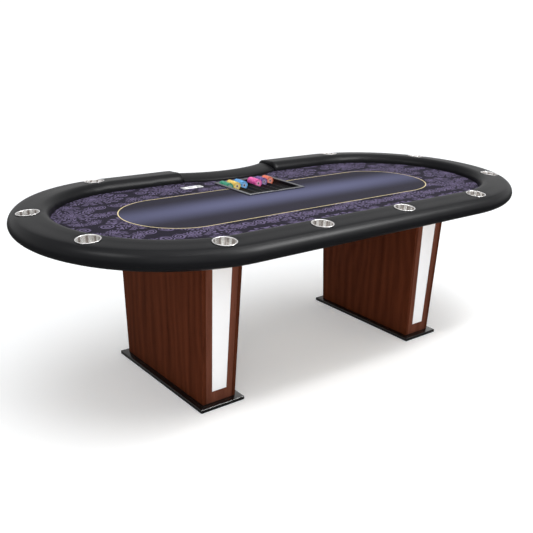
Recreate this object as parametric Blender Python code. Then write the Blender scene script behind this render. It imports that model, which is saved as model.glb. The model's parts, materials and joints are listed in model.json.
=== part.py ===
"""Poker table with two pedestals: a padded rail with ten cup holders, a dealer cut-out with
a chip tray, and a drop slot with its box.

Metres, +Z up. The origin is on the floor under the middle of the table. +X runs along the
table's length, and the dealer sits on the +Y side.
"""
import math

import bmesh
import bpy
from mathutils import Vector

GAP = 0.0003                    # air between two pieces that touch
CUT_PAST = 0.0100               # how far a cutter runs on past the faces that it cuts

# Outline: a stadium. A "half width" below is a distance from its long centre line.
STRAIGHT_HALF = 0.610           # the two end arcs are centred at x = +-STRAIGHT_HALF
TABLE_HALF_WIDTH = 0.610        # outside of the padded rail
ARC_STEPS = 26                  # facets in each half circle

# Heights
DECK_BOTTOM = 0.6735
DECK_TOP = 0.6917
BOARD_BOTTOM = DECK_TOP + GAP
PLAY_BOARD_TOP = 0.7107
FOAM_TOP = 0.7140
CLOTH_TOP = 0.7163
RAIL_BOARD_TOP = 0.7160

# Rail
RAIL_INNER = 0.457
RAIL_BOARD_INNER = 0.472
RAIL_BOARD_OUTER = 0.576
DECK_HALF_WIDTH = 0.560
PLAY_HALF_WIDTH = RAIL_INNER - 0.0005
RAIL_END_WALL = 0.012           # padding over the rail board's end at the cut-out
PAD_SHARP_ANGLE = 40            # degrees

# Dealer cut-out: arcs about one centre behind the table
CUTOUT_HALF = 0.270
CUTOUT_CENTRE_Y = 1.086
REST_OUTER_R = 0.556
REST_INNER_R = 0.681
REST_BOARD_OUTER_R = 0.572
REST_BOARD_INNER_R = 0.667
DECK_CUTOUT_R = 0.588
PLAY_CUTOUT_R = REST_INNER_R + 0.0005
CUTOUT_STEPS = 14

# Cup holders
CUP_LINE = 0.5345               # half width of the line that the cups stand on
CUP_SEAT = 0.7560               # height of the rail's top at that line
CUP_LEAN = math.radians(4.5)    # the rail's top, and each cup in it, leans outwards
CUP_RADIUS = 0.0410
CUP_RIM_RADIUS = 0.0440
CUP_WALL = 0.0012
CUP_DEPTH = 0.0600
CUP_RIM_THICK = 0.0022
CUP_HOLE_RADIUS = 0.0419
CUP_SIDES = 20
CUP_HOLE_REACH = (-0.0750, 0.0300)
CUP_LEFT_TURNS = (98.0, 162.0, 209.0, 259.0)    # degrees round the end arc's centre
CUP_FRONT_X = (-0.282, 0.163)
CUP_RIGHT_TURNS = (272.0, 328.0, 386.0, 440.0)

# Chip tray
TRAY_ROWS = 7
ROW_PITCH = 0.0415
TRAY_HALF_X = TRAY_ROWS * ROW_PITCH / 2
TRAY_FRONT = 0.104
TRAY_BACK = 0.358
TRAY_WALL = 0.0025
TRAY_FLOOR = 0.6876
TRAY_FLANGE_BOTTOM = CLOTH_TOP + GAP
TRAY_FLANGE_TOP = TRAY_FLANGE_BOTTOM + 0.0015
TRAY_FLANGE = 0.010
ROW_RADIUS = 0.0203
ROW_CENTRE_Z = 0.7106
ROW_WALL_TOP = 0.7056
ROW_STEPS = 10
FRAME_RIM = 0.015
FRAME_BOTTOM = TRAY_FLANGE_TOP + GAP
FRAME_TOP = FRAME_BOTTOM + 0.0032
FINGER_NOTCH_HALF = 0.020
BOARD_HOLE_MARGIN = 0.0045

# Chips: thirty-nine millimetre discs standing on edge
CHIP_RADIUS = 0.0195
CHIP_THICK = 0.0033
CHIP_SIDES = 24
CHIP_ROWS = (
    ("green", 0, 20, (0.02, 0.30, 0.20)),
    ("yellow", 1, 20, (0.85, 0.60, 0.12)),
    ("blue", 2, 20, (0.10, 0.38, 0.70)),
    ("pink", 4, 20, (0.85, 0.10, 0.40)),
    ("purple", 5, 17, (0.22, 0.06, 0.34)),
    ("orange", 6, 15, (0.80, 0.20, 0.12)),
)

# Drop slot and its box
SLOT_X = -0.290
SLOT_Y = 0.356
SLOT_PLATE = (0.105, 0.037, 0.0020)
SLOT_SIZE = (0.070, 0.009)
CHUTE_WALL = 0.003
CHUTE_BOTTOM = 0.640
BOX_SIZE = (0.160, 0.200, 0.110)
BOX_TOP = 0.630
BOX_WALL = 0.002
BOX_FLANGE = 0.012
BOX_PULL = 0.018
RUNNER_WALL = 0.002
RUNNER_SLACK = 0.0007
RUNNER_LIP = 0.009
RUNNER_FOOT = 0.014
RUNNER_FRONT = 0.246
RUNNER_BACK = 0.500

# Pedestals
PEDESTAL_X = 0.585
BASE_PLATE = (0.205, 0.670, 0.015)
BODY_BOTTOM_HALF = (0.0765, 0.3050)
BODY_FLARE = (0.0255, 0.0370)   # outward lean of each face, per metre of height
PANEL = 0.016
TOP_PLATE = (0.240, 0.710, 0.012)
UNDER_DECK = DECK_BOTTOM - GAP
BODY_TOP = UNDER_DECK - TOP_PLATE[2] - GAP
BODY_FOOT = BASE_PLATE[2] + GAP
INSERT_FOOT = 0.063
INSERT_FOOT_HALF = 0.0343
INSERT_FLARE = 0.0208
INSERT_RECESS = 0.0012
INSERT_THICK = 0.010

BOLT_OFFSET = (0.1065, 0.250)
BOLT_RADIUS = 0.004
BOLT_HOLE = 0.0045
BOLT_HEAD_RADIUS = 0.0075
BOLT_HEAD = 0.0050
BOLT_CHAMFER = 0.0015
BOLT_REACH = 0.010              # how far a bolt goes up into the deck
BOLT_HOLE_DEPTH = 0.011
BOLT_SIDES = 8

STRINGER_Y = 0.200
STRINGER = (0.920, 0.040, 0.040)


# ---------------------------------------------------------------- materials

def material(name, colour, roughness, metallic=0.0):
    """A Principled material of one colour."""
    made = bpy.data.materials.new(name)
    made.use_nodes = True
    shader = made.node_tree.nodes["Principled BSDF"]
    shader.inputs["Base Color"].default_value = (*colour, 1.0)
    shader.inputs["Roughness"].default_value = roughness
    shader.inputs["Metallic"].default_value = metallic
    return made


def make_materials():
    """Every material of the table, by what it is."""
    made = {
        "vinyl": material("black_vinyl", (0.012, 0.012, 0.014), 0.42),
        "cloth": material("purple_cloth", (0.060, 0.050, 0.110), 0.85),
        "foam": material("grey_foam", (0.200, 0.200, 0.210), 0.95),
        "plywood": material("birch_plywood", (0.520, 0.380, 0.230), 0.70),
        "veneer": material("walnut_veneer", (0.120, 0.034, 0.016), 0.40),
        "insert": material("silver_insert", (0.780, 0.790, 0.800), 0.35),
        "black_plate": material("black_gloss_board", (0.010, 0.009, 0.009), 0.15),
        "steel": material("stainless_steel", (0.620, 0.620, 0.620), 0.25, 1.0),
        "tray": material("black_tray", (0.012, 0.012, 0.014), 0.35),
        "frame": material("satin_aluminium", (0.420, 0.430, 0.450), 0.35, 1.0),
        "sheet": material("black_sheet_metal", (0.030, 0.030, 0.032), 0.45, 0.6),
    }
    for name, _row, _count, colour in CHIP_ROWS:
        made[name] = material(name + "_chips", colour, 0.45)
    return made


# ---------------------------------------------------------------- mesh helpers

def add_object(name, mesh, finish):
    """Put a mesh in the scene under its part's name."""
    part = bpy.data.objects.new(name, mesh)
    bpy.context.collection.objects.link(part)
    if finish is not None:
        mesh.materials.append(finish)
    return part


def finish_mesh(name, work):
    """Turn a bmesh into a mesh whose faces point out."""
    bmesh.ops.recalc_face_normals(work, faces=work.faces)
    mesh = bpy.data.meshes.new(name)
    work.to_mesh(mesh)
    work.free()
    return mesh


def shade(part, degrees=30):
    """Smooth the round stretches and keep the edges."""
    part.data.shade_smooth()
    part.data.set_sharp_from_angle(angle=math.radians(degrees))


def loft(name, rings, finish, capped=True, closed=False):
    """Join rings of points, each ring a closed loop, into one solid."""
    work = bmesh.new()
    made = [[work.verts.new(Vector(point)) for point in ring] for ring in rings]
    count = len(rings[0])
    pairs = list(zip(made, made[1:]))
    if closed:
        pairs.append((made[-1], made[0]))
    for near, far in pairs:
        for i in range(count):
            j = (i + 1) % count
            work.faces.new((near[i], near[j], far[j], far[i]))
    if capped and not closed:
        work.faces.new(made[0])
        work.faces.new(made[-1])
    return add_object(name, finish_mesh(name, work), finish)


def slab(name, outline, bottom, top, finish):
    """A flat outline between two heights."""
    rings = [[(x, y, z) for x, y in outline] for z in (bottom, top)]
    return loft(name, rings, finish)


def box(name, low, high, finish):
    """A block between two corners."""
    outline = [(low[0], low[1]), (high[0], low[1]), (high[0], high[1]), (low[0], high[1])]
    return slab(name, outline, low[2], high[2], finish)


def along_y(name, profile, front, back, finish):
    """An outline in x and z, drawn out along Y."""
    rings = [[(x, y, z) for x, z in profile] for y in (front, back)]
    return loft(name, rings, finish)


def cylinder(name, centre, radius, bottom, top, sides, finish):
    """An upright round bar."""
    outline = []
    for step in range(sides):
        turn = math.tau * step / sides
        outline.append((centre[0] + radius * math.cos(turn), centre[1] + radius * math.sin(turn)))
    return slab(name, outline, bottom, top, finish)


def turned(name, profile, sides, finish):
    """Spin a closed outline of (radius, z) about the Z axis."""
    rings = []
    for step in range(sides):
        turn = math.tau * step / sides
        ring = [(r * math.cos(turn), r * math.sin(turn), z) for r, z in profile]
        rings.append(ring)
    work = bmesh.new()
    made = []
    for ring in rings:
        row = []
        for (radius, _z), point in zip(profile, ring):
            if radius == 0.0 and made:
                row.append(made[0][len(row)])
            else:
                row.append(work.verts.new(Vector(point)))
        made.append(row)
    count = len(profile)
    for step in range(sides):
        near = made[step]
        far = made[(step + 1) % sides]
        for i in range(count):
            j = (i + 1) % count
            corners = []
            for corner in (near[i], near[j], far[j], far[i]):
                if corner not in corners:
                    corners.append(corner)
            if len(corners) > 2:
                work.faces.new(corners)
    return add_object(name, finish_mesh(name, work), finish)


def cut(part, cutter):
    """Take the cutter's shape out of the part."""
    change = part.modifiers.new("cut_" + cutter.name, "BOOLEAN")
    change.operation = "DIFFERENCE"
    change.solver = "EXACT"
    change.object = cutter
    cutter.hide_render = True
    cutter.display_type = "WIRE"


def join_with(part, extra):
    """Weld another solid to the part."""
    change = part.modifiers.new("join_" + extra.name, "BOOLEAN")
    change.operation = "UNION"
    change.solver = "EXACT"
    change.object = extra
    extra.hide_render = True
    extra.display_type = "WIRE"


# ---------------------------------------------------------------- outlines

def spread(first, last, steps):
    """Evenly spaced values, both ends included."""
    return [first + (last - first) * step / steps for step in range(steps + 1)]


def rail_stations(cutout_half):
    """Stations round the rail, from the cut-out's left end to its right one.

    Each is (x, dx, dy): a point at half width w lies at (x + w * dx, w * dy).
    """
    stations = [(-cutout_half, 0.0, 1.0)]
    for turn in spread(math.pi / 2, 3 * math.pi / 2, ARC_STEPS):
        stations.append((-STRAIGHT_HALF, math.cos(turn), math.sin(turn)))
    for turn in spread(-math.pi / 2, math.pi / 2, ARC_STEPS):
        stations.append((STRAIGHT_HALF, math.cos(turn), math.sin(turn)))
    stations.append((cutout_half, 0.0, 1.0))
    return stations


def cutout_y(x, radius):
    """The arc round the dealer at a place along the table."""
    return CUTOUT_CENTRE_Y - math.sqrt(radius * radius - x * x)


def board_outline(half_width, cutout_radius):
    """A stadium with the dealer's arc taken out of its back."""
    reach = math.sqrt(cutout_radius ** 2 - (CUTOUT_CENTRE_Y - half_width) ** 2)
    outline = []
    for x, dx, dy in rail_stations(reach):
        outline.append((x + half_width * dx, half_width * dy))
    for x in spread(reach, -reach, CUTOUT_STEPS)[1:-1]:
        outline.append((x, cutout_y(x, cutout_radius)))
    return outline


def sweep_rail(name, section, cutout_half, finish):
    """Draw a section of (half width, z) round the rail."""
    rings = []
    for x, dx, dy in rail_stations(cutout_half):
        rings.append([(x + w * dx, w * dy, z) for w, z in section])
    return loft(name, rings, finish)


def sweep_rest(name, section, half, finish):
    """Draw a section of (radius, z) across the dealer cut-out."""
    rings = []
    for x in spread(-half, half, CUTOUT_STEPS):
        rings.append([(x, cutout_y(x, radius), z) for radius, z in section])
    return loft(name, rings, finish)


def cup_places():
    """The cups' seats as (x, y, outward angle), from the left end's back, counter-clockwise."""
    def on_end(side, degrees):
        turn = math.radians(degrees)
        x = side * STRAIGHT_HALF + CUP_LINE * math.cos(turn)
        return (x, CUP_LINE * math.sin(turn), turn)

    places = [on_end(-1, degrees) for degrees in CUP_LEFT_TURNS]
    places += [(x, -CUP_LINE, -math.pi / 2) for x in CUP_FRONT_X]
    places += [on_end(1, degrees) for degrees in CUP_RIGHT_TURNS]
    return places


def seat_on_rail(part, place):
    """Stand a part made about its own origin on the rail's top, leaning outwards."""
    part.location = (place[0], place[1], CUP_SEAT)
    part.rotation_euler = (0.0, CUP_LEAN, place[2])


# ---------------------------------------------------------------- table top

def bolt_places(side):
    """Where a pedestal's four bolts go up into the deck."""
    centre = side * PEDESTAL_X
    return [(centre + a * BOLT_OFFSET[0], b * BOLT_OFFSET[1]) for a in (-1, 1) for b in (-1, 1)]


def cut_board_openings(part, bottom, top):
    """Take the chip tray's and the drop slot's openings out of a board."""
    low = (-TRAY_HALF_X - BOARD_HOLE_MARGIN, TRAY_FRONT - BOARD_HOLE_MARGIN, bottom - CUT_PAST)
    high = (TRAY_HALF_X + BOARD_HOLE_MARGIN, TRAY_BACK + BOARD_HOLE_MARGIN, top + CUT_PAST)
    cut(part, box("cutter_tray_" + part.name, low, high, None))
    reach_x = SLOT_SIZE[0] / 2 + CHUTE_WALL + GAP
    reach_y = SLOT_SIZE[1] / 2 + CHUTE_WALL + GAP
    low = (SLOT_X - reach_x, SLOT_Y - reach_y, bottom - CUT_PAST)
    high = (SLOT_X + reach_x, SLOT_Y + reach_y, top + CUT_PAST)
    cut(part, box("cutter_slot_" + part.name, low, high, None))


def make_deck(finishes):
    """The board that everything above is screwed to."""
    outline = board_outline(DECK_HALF_WIDTH, DECK_CUTOUT_R)
    deck = slab("table_deck", outline, DECK_BOTTOM, DECK_TOP, finishes["plywood"])
    cut_board_openings(deck, DECK_BOTTOM, DECK_TOP)
    for side in (-1, 1):
        for number, place in enumerate(bolt_places(side)):
            name = "cutter_deck_bolt_%d_%d" % (side, number)
            reach = (DECK_BOTTOM - CUT_PAST, DECK_BOTTOM + BOLT_HOLE_DEPTH)
            hole = cylinder(name, place, BOLT_HOLE, *reach, BOLT_SIDES, None)
            cut(deck, hole)


def make_playing_surface(finishes):
    """The inner board, its foam and its cloth."""
    outline = board_outline(PLAY_HALF_WIDTH, PLAY_CUTOUT_R)
    layers = (
        ("play_board", BOARD_BOTTOM, PLAY_BOARD_TOP, "plywood"),
        ("foam_underlay", PLAY_BOARD_TOP + GAP, FOAM_TOP, "foam"),
        ("playing_cloth", FOAM_TOP + GAP, CLOTH_TOP, "cloth"),
    )
    for name, bottom, top, finish in layers:
        layer = slab(name, outline, bottom, top, finishes[finish])
        cut_board_openings(layer, bottom, top)


def rail_section():
    """The padded rail's outline: low inner wall, top leaning outwards, full round nose."""
    lean = math.tan(CUP_LEAN)
    shoulder = CUP_LINE + 0.0460
    return (
        (RAIL_INNER + 0.0020, BOARD_BOTTOM),
        (RAIL_INNER, 0.7060),
        (RAIL_INNER, 0.7280),
        (RAIL_INNER + 0.0040, 0.7410),
        (RAIL_INNER + 0.0130, 0.7525),
        (RAIL_INNER + 0.0290, 0.7590),
        (CUP_LINE - 0.0250, CUP_SEAT + 0.0250 * lean),
        (CUP_LINE, CUP_SEAT),
        (shoulder, CUP_SEAT - (shoulder - CUP_LINE) * lean),
        (TABLE_HALF_WIDTH - 0.0140, 0.7460),
        (TABLE_HALF_WIDTH - 0.0040, 0.7330),
        (TABLE_HALF_WIDTH, 0.7165),
        (TABLE_HALF_WIDTH - 0.0045, 0.6995),
        (TABLE_HALF_WIDTH - 0.0170, 0.6850),
        (TABLE_HALF_WIDTH - 0.0350, DECK_BOTTOM + 0.0020),
        (DECK_HALF_WIDTH + GAP, DECK_BOTTOM),
        (DECK_HALF_WIDTH + GAP, BOARD_BOTTOM),
    )


def make_rail(finishes):
    """The rail's board and the padding wrapped round it, with ten holes."""
    board_section = (
        (RAIL_BOARD_INNER, BOARD_BOTTOM),
        (RAIL_BOARD_INNER, RAIL_BOARD_TOP),
        (RAIL_BOARD_OUTER, RAIL_BOARD_TOP),
        (RAIL_BOARD_OUTER, BOARD_BOTTOM),
    )
    channel = (
        (RAIL_BOARD_INNER - GAP, BOARD_BOTTOM - GAP),
        (RAIL_BOARD_INNER - GAP, RAIL_BOARD_TOP + GAP),
        (RAIL_BOARD_OUTER + GAP, RAIL_BOARD_TOP + GAP),
        (RAIL_BOARD_OUTER + GAP, BOARD_BOTTOM - GAP),
    )
    board_end = CUTOUT_HALF + RAIL_END_WALL
    board = sweep_rail("rail_board", board_section, board_end, finishes["plywood"])
    pad = sweep_rail("rail_pad", rail_section(), CUTOUT_HALF, finishes["vinyl"])
    cut(pad, sweep_rail("cutter_rail_channel", channel, board_end - GAP, None))
    for number, place in enumerate(cup_places(), 1):
        name = "cutter_cup_%d" % number
        hole = cylinder(name, (0.0, 0.0), CUP_HOLE_RADIUS, *CUP_HOLE_REACH, CUP_SIDES, None)
        seat_on_rail(hole, place)
        cut(board, hole)
        cut(pad, hole)
    shade(pad, PAD_SHARP_ANGLE)


def make_dealer_rest(finishes):
    """The low padded rest that curves in round the dealer."""
    half = CUTOUT_HALF - GAP
    section = (
        (REST_INNER_R, BOARD_BOTTOM),
        (REST_INNER_R, 0.7220),
        (REST_INNER_R - 0.0050, 0.7290),
        (REST_INNER_R - 0.0260, 0.7355),
        (REST_INNER_R - 0.0610, 0.7415),
        (REST_OUTER_R + 0.0340, 0.7430),
        (REST_OUTER_R + 0.0140, 0.7375),
        (REST_OUTER_R + 0.0030, 0.7260),
        (REST_OUTER_R, 0.7120),
        (REST_OUTER_R + 0.0030, 0.6980),
        (REST_OUTER_R + 0.0120, 0.6850),
        (REST_OUTER_R + 0.0240, DECK_BOTTOM + 0.0020),
        (DECK_CUTOUT_R - GAP, DECK_BOTTOM),
        (DECK_CUTOUT_R - GAP, BOARD_BOTTOM),
    )
    board_section = (
        (REST_BOARD_INNER_R, BOARD_BOTTOM),
        (REST_BOARD_INNER_R, RAIL_BOARD_TOP),
        (REST_BOARD_OUTER_R, RAIL_BOARD_TOP),
        (REST_BOARD_OUTER_R, BOARD_BOTTOM),
    )
    channel = (
        (REST_BOARD_INNER_R + GAP, BOARD_BOTTOM - GAP),
        (REST_BOARD_INNER_R + GAP, RAIL_BOARD_TOP + GAP),
        (REST_BOARD_OUTER_R - GAP, RAIL_BOARD_TOP + GAP),
        (REST_BOARD_OUTER_R - GAP, BOARD_BOTTOM - GAP),
    )
    board_half = half - RAIL_END_WALL
    sweep_rest("dealer_rest_board", board_section, board_half, finishes["plywood"])
    pad = sweep_rest("dealer_rest_pad", section, half, finishes["vinyl"])
    cut(pad, sweep_rest("cutter_rest_channel", channel, board_half + GAP, None))
    shade(pad, PAD_SHARP_ANGLE)


def make_cup_holders(finishes):
    """Ten drop-in cups, each hanging on its rim."""
    rim_bottom = GAP
    rim_top = rim_bottom + CUP_RIM_THICK
    floor = rim_top - CUP_DEPTH
    inner = CUP_RADIUS - CUP_WALL
    profile = (
        (0.0, floor),
        (CUP_RADIUS - 0.004, floor),
        (CUP_RADIUS, floor + 0.004),
        (CUP_RADIUS, rim_bottom),
        (CUP_RIM_RADIUS, rim_bottom),
        (CUP_RIM_RADIUS - 0.0006, rim_top),
        (inner, rim_top),
        (inner, floor + 0.005),
        (0.0, floor + CUP_WALL),
    )
    for number, place in enumerate(cup_places(), 1):
        cup = turned("cup_holder_%d" % number, profile, CUP_SIDES, finishes["steel"])
        seat_on_rail(cup, place)
        shade(cup)


# ---------------------------------------------------------------- chip tray

def make_chip_tray(finishes):
    """A tub with seven round-bottomed rows, hung on a thin flange."""
    out_x = TRAY_HALF_X + TRAY_WALL
    low = (-out_x, TRAY_FRONT - TRAY_WALL, TRAY_FLOOR)
    high = (out_x, TRAY_BACK + TRAY_WALL, TRAY_FLANGE_TOP)
    tray = box("chip_tray", low, high, finishes["tray"])
    flange_x = TRAY_HALF_X + TRAY_FLANGE
    low = (-flange_x, TRAY_FRONT - TRAY_FLANGE, TRAY_FLANGE_BOTTOM)
    high = (flange_x, TRAY_BACK + TRAY_FLANGE, TRAY_FLANGE_TOP)
    join_with(tray, box("cutter_tray_flange", low, high, None))
    low = (-TRAY_HALF_X, TRAY_FRONT, ROW_WALL_TOP)
    high = (TRAY_HALF_X, TRAY_BACK, TRAY_FLANGE_TOP + CUT_PAST)
    cut(tray, box("cutter_tray_inside", low, high, None))
    for row in range(TRAY_ROWS):
        x = row_x(row)
        profile = []
        for turn in spread(math.pi, 2 * math.pi, ROW_STEPS):
            z = ROW_CENTRE_Z + ROW_RADIUS * math.sin(turn)
            profile.append((x + ROW_RADIUS * math.cos(turn), z))
        cut(tray, along_y("cutter_row_%d" % row, profile, TRAY_FRONT, TRAY_BACK, None))


def row_x(row):
    """The middle of a chip row along the table."""
    return -TRAY_HALF_X + (row + 0.5) * ROW_PITCH


def make_tray_frame(finishes):
    """The flat metal rim round the tray, with a finger notch in front."""
    out_x = TRAY_HALF_X + FRAME_RIM
    low = (-out_x, TRAY_FRONT - FRAME_RIM, FRAME_BOTTOM)
    high = (out_x, TRAY_BACK + FRAME_RIM, FRAME_TOP)
    frame = box("chip_tray_frame", low, high, finishes["frame"])
    low = (-TRAY_HALF_X, TRAY_FRONT, FRAME_BOTTOM - CUT_PAST)
    high = (TRAY_HALF_X, TRAY_BACK, FRAME_TOP + CUT_PAST)
    cut(frame, box("cutter_frame_window", low, high, None))
    low = (-FINGER_NOTCH_HALF, TRAY_FRONT - FRAME_RIM / 2, FRAME_BOTTOM - CUT_PAST)
    high = (FINGER_NOTCH_HALF, TRAY_FRONT + GAP, FRAME_TOP + CUT_PAST)
    cut(frame, box("cutter_finger_notch", low, high, None))


def make_chips(finishes):
    """Six rows of chips pushed up to the tray's back wall."""
    for name, row, count, _colour in CHIP_ROWS:
        back = TRAY_BACK - GAP
        front = back - count * CHIP_THICK
        profile = []
        for step in range(CHIP_SIDES):
            turn = math.tau * (step + 0.5) / CHIP_SIDES
            x = row_x(row) + CHIP_RADIUS * math.cos(turn)
            profile.append((x, ROW_CENTRE_Z + CHIP_RADIUS * math.sin(turn)))
        shade(along_y("chips_" + name, profile, front, back, finishes[name]))


# ---------------------------------------------------------------- drop slot

def make_drop_slot(finishes):
    """The slot's plate on the cloth and the chute under it."""
    bottom = CLOTH_TOP + GAP
    low = (SLOT_X - SLOT_PLATE[0] / 2, SLOT_Y - SLOT_PLATE[1] / 2, bottom)
    high = (SLOT_X + SLOT_PLATE[0] / 2, SLOT_Y + SLOT_PLATE[1] / 2, bottom + SLOT_PLATE[2])
    plate = box("drop_slot_plate", low, high, finishes["frame"])
    reach_x = SLOT_SIZE[0] / 2
    reach_y = SLOT_SIZE[1] / 2
    low = (SLOT_X - reach_x - CHUTE_WALL, SLOT_Y - reach_y - CHUTE_WALL, CHUTE_BOTTOM)
    high = (SLOT_X + reach_x + CHUTE_WALL, SLOT_Y + reach_y + CHUTE_WALL, bottom - GAP)
    chute = box("drop_slot_chute", low, high, finishes["tray"])
    low = (SLOT_X - reach_x, SLOT_Y - reach_y, CHUTE_BOTTOM - CUT_PAST)
    high = (SLOT_X + reach_x, SLOT_Y + reach_y, bottom + CUT_PAST)
    opening = box("cutter_slot", low, high, None)
    cut(plate, opening)
    cut(chute, opening)


def make_drop_box(finishes):
    """The open-topped box that catches what goes down the slot, and its pull."""
    half_x = BOX_SIZE[0] / 2
    front = SLOT_Y - BOX_SIZE[1] / 2
    back = SLOT_Y + BOX_SIZE[1] / 2
    low = (SLOT_X - half_x, front, BOX_TOP - BOX_SIZE[2])
    high = (SLOT_X + half_x, back, BOX_TOP)
    body = box("drop_box", low, high, finishes["sheet"])
    low = (SLOT_X - half_x - BOX_FLANGE, front, BOX_TOP - BOX_WALL)
    high = (SLOT_X + half_x + BOX_FLANGE, back + BOX_PULL, BOX_TOP)
    join_with(body, box("cutter_box_flange", low, high, None))
    low = (SLOT_X - half_x + BOX_WALL, front + BOX_WALL, BOX_TOP - BOX_SIZE[2] + BOX_WALL)
    high = (SLOT_X + half_x - BOX_WALL, back - BOX_WALL, BOX_TOP + CUT_PAST)
    cut(body, box("cutter_box_inside", low, high, None))


def make_runners(finishes):
    """Two bent rails under the deck that the drop box hangs and slides on."""
    inside = BOX_SIZE[0] / 2 + BOX_FLANGE + RUNNER_SLACK
    lip_top = BOX_TOP - BOX_WALL - GAP
    lip_bottom = lip_top - RUNNER_WALL
    for name, side in (("drop_box_runner_left", -1), ("drop_box_runner_right", 1)):
        profile = (
            (inside - RUNNER_LIP, lip_bottom),
            (inside + RUNNER_WALL, lip_bottom),
            (inside + RUNNER_WALL, UNDER_DECK - RUNNER_WALL),
            (inside + RUNNER_WALL + RUNNER_FOOT, UNDER_DECK - RUNNER_WALL),
            (inside + RUNNER_WALL + RUNNER_FOOT, UNDER_DECK),
            (inside, UNDER_DECK),
            (inside, lip_top),
            (inside - RUNNER_LIP, lip_top),
        )
        placed = [(SLOT_X + side * x, z) for x, z in profile]
        along_y(name, placed, RUNNER_FRONT, RUNNER_BACK, finishes["sheet"])


# ---------------------------------------------------------------- pedestals

def body_half(z):
    """Half sizes of a pedestal's outside at a height."""
    rise = z - BASE_PLATE[2]
    return (BODY_BOTTOM_HALF[0] + BODY_FLARE[0] * rise, BODY_BOTTOM_HALF[1] + BODY_FLARE[1] * rise)


def leaning_panel(name, corners, finish):
    """A flat board whose corners at each height come from a function of that height."""
    rings = [corners(z) for z in (BODY_FOOT, BODY_TOP)]
    return loft(name, rings, finish)


def make_broad_panel(name, centre, side, finish):
    """One of a pedestal's two wide faces; side is the way it faces along X."""
    def corners(z):
        half_x, half_y = body_half(z)
        outer = centre + side * half_x
        inner = outer - side * PANEL
        return [(outer, -half_y, z), (outer, half_y, z), (inner, half_y, z), (inner, -half_y, z)]

    leaning_panel(name, corners, finish)


def make_end_panel(name, centre, side, finish):
    """One of a pedestal's narrow faces, slotted from the top for its insert."""
    rings = []
    for depth in (0.0, PANEL):
        ring = []
        for x_sign, z, on_insert in (
            (-1, BODY_FOOT, False),
            (1, BODY_FOOT, False),
            (1, BODY_TOP, False),
            (1, BODY_TOP, True),
            (1, INSERT_FOOT, True),
            (-1, INSERT_FOOT, True),
            (-1, BODY_TOP, True),
            (-1, BODY_TOP, False),
        ):
            half_x, half_y = body_half(z)
            reach = insert_half(z) if on_insert else half_x - PANEL - GAP
            ring.append((centre + x_sign * reach, side * (half_y - depth), z))
        rings.append(ring)
    loft(name, rings, finish)


def insert_half(z):
    """Half the width of an insert's slot at a height."""
    return INSERT_FOOT_HALF + INSERT_FLARE * (z - INSERT_FOOT)


def make_insert(name, centre, side, finish):
    """The light panel let into a narrow face."""
    rings = []
    foot = INSERT_FOOT + GAP
    for depth in (INSERT_RECESS, INSERT_RECESS + INSERT_THICK):
        ring = []
        for x_sign, z in ((-1, foot), (1, foot), (1, BODY_TOP), (-1, BODY_TOP)):
            half_y = body_half(z)[1]
            ring.append((centre + x_sign * (insert_half(z) - GAP), side * (half_y - depth), z))
        rings.append(ring)
    loft(name, rings, finish)


def make_bolt(name, place, finish):
    """A bolt up through the top plate into the deck, head below."""
    plate_bottom = UNDER_DECK - TOP_PLATE[2] - GAP
    profile = (
        (0.0, plate_bottom - BOLT_HEAD),
        (BOLT_HEAD_RADIUS - BOLT_CHAMFER, plate_bottom - BOLT_HEAD),
        (BOLT_HEAD_RADIUS, plate_bottom - BOLT_HEAD + BOLT_CHAMFER),
        (BOLT_HEAD_RADIUS, plate_bottom),
        (BOLT_RADIUS, plate_bottom),
        (BOLT_RADIUS, DECK_BOTTOM + BOLT_REACH),
        (0.0, DECK_BOTTOM + BOLT_REACH),
    )
    bolt = turned(name, profile, BOLT_SIDES, finish)
    bolt.location = (place[0], place[1], 0.0)
    shade(bolt)


def make_pedestal(label, side, finishes):
    """One pedestal: base plate, four panels, two inserts, top plate and bolts."""
    centre = side * PEDESTAL_X
    low = (centre - BASE_PLATE[0] / 2, -BASE_PLATE[1] / 2, 0.0)
    high = (centre + BASE_PLATE[0] / 2, BASE_PLATE[1] / 2, BASE_PLATE[2])
    box(label + "_base_plate", low, high, finishes["black_plate"])
    low = (centre - TOP_PLATE[0] / 2, -TOP_PLATE[1] / 2, UNDER_DECK - TOP_PLATE[2])
    high = (centre + TOP_PLATE[0] / 2, TOP_PLATE[1] / 2, UNDER_DECK)
    top_plate = box(label + "_top_plate", low, high, finishes["plywood"])
    make_broad_panel(label + "_outer_panel", centre, side, finishes["veneer"])
    make_broad_panel(label + "_inner_panel", centre, -side, finishes["veneer"])
    for end, facing in (("front", -1), ("back", 1)):
        make_end_panel("%s_%s_panel" % (label, end), centre, facing, finishes["veneer"])
        make_insert("%s_%s_insert" % (label, end), centre, facing, finishes["insert"])
    for number, place in enumerate(bolt_places(side), 1):
        make_bolt("%s_bolt_%d" % (label, number), place, finishes["steel"])
        name = "cutter_%s_bolt_%d" % (label, number)
        reach = (UNDER_DECK - TOP_PLATE[2] - CUT_PAST, DECK_BOTTOM + CUT_PAST)
        hole = cylinder(name, place, BOLT_HOLE, *reach, BOLT_SIDES, None)
        cut(top_plate, hole)


def make_stringers(finishes):
    """Two beams that stiffen the deck between the pedestals."""
    for name, side in (("stringer_front", -1), ("stringer_back", 1)):
        middle = side * STRINGER_Y
        low = (-STRINGER[0] / 2, middle - STRINGER[1] / 2, UNDER_DECK - STRINGER[2])
        high = (STRINGER[0] / 2, middle + STRINGER[1] / 2, UNDER_DECK)
        box(name, low, high, finishes["plywood"])


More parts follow.
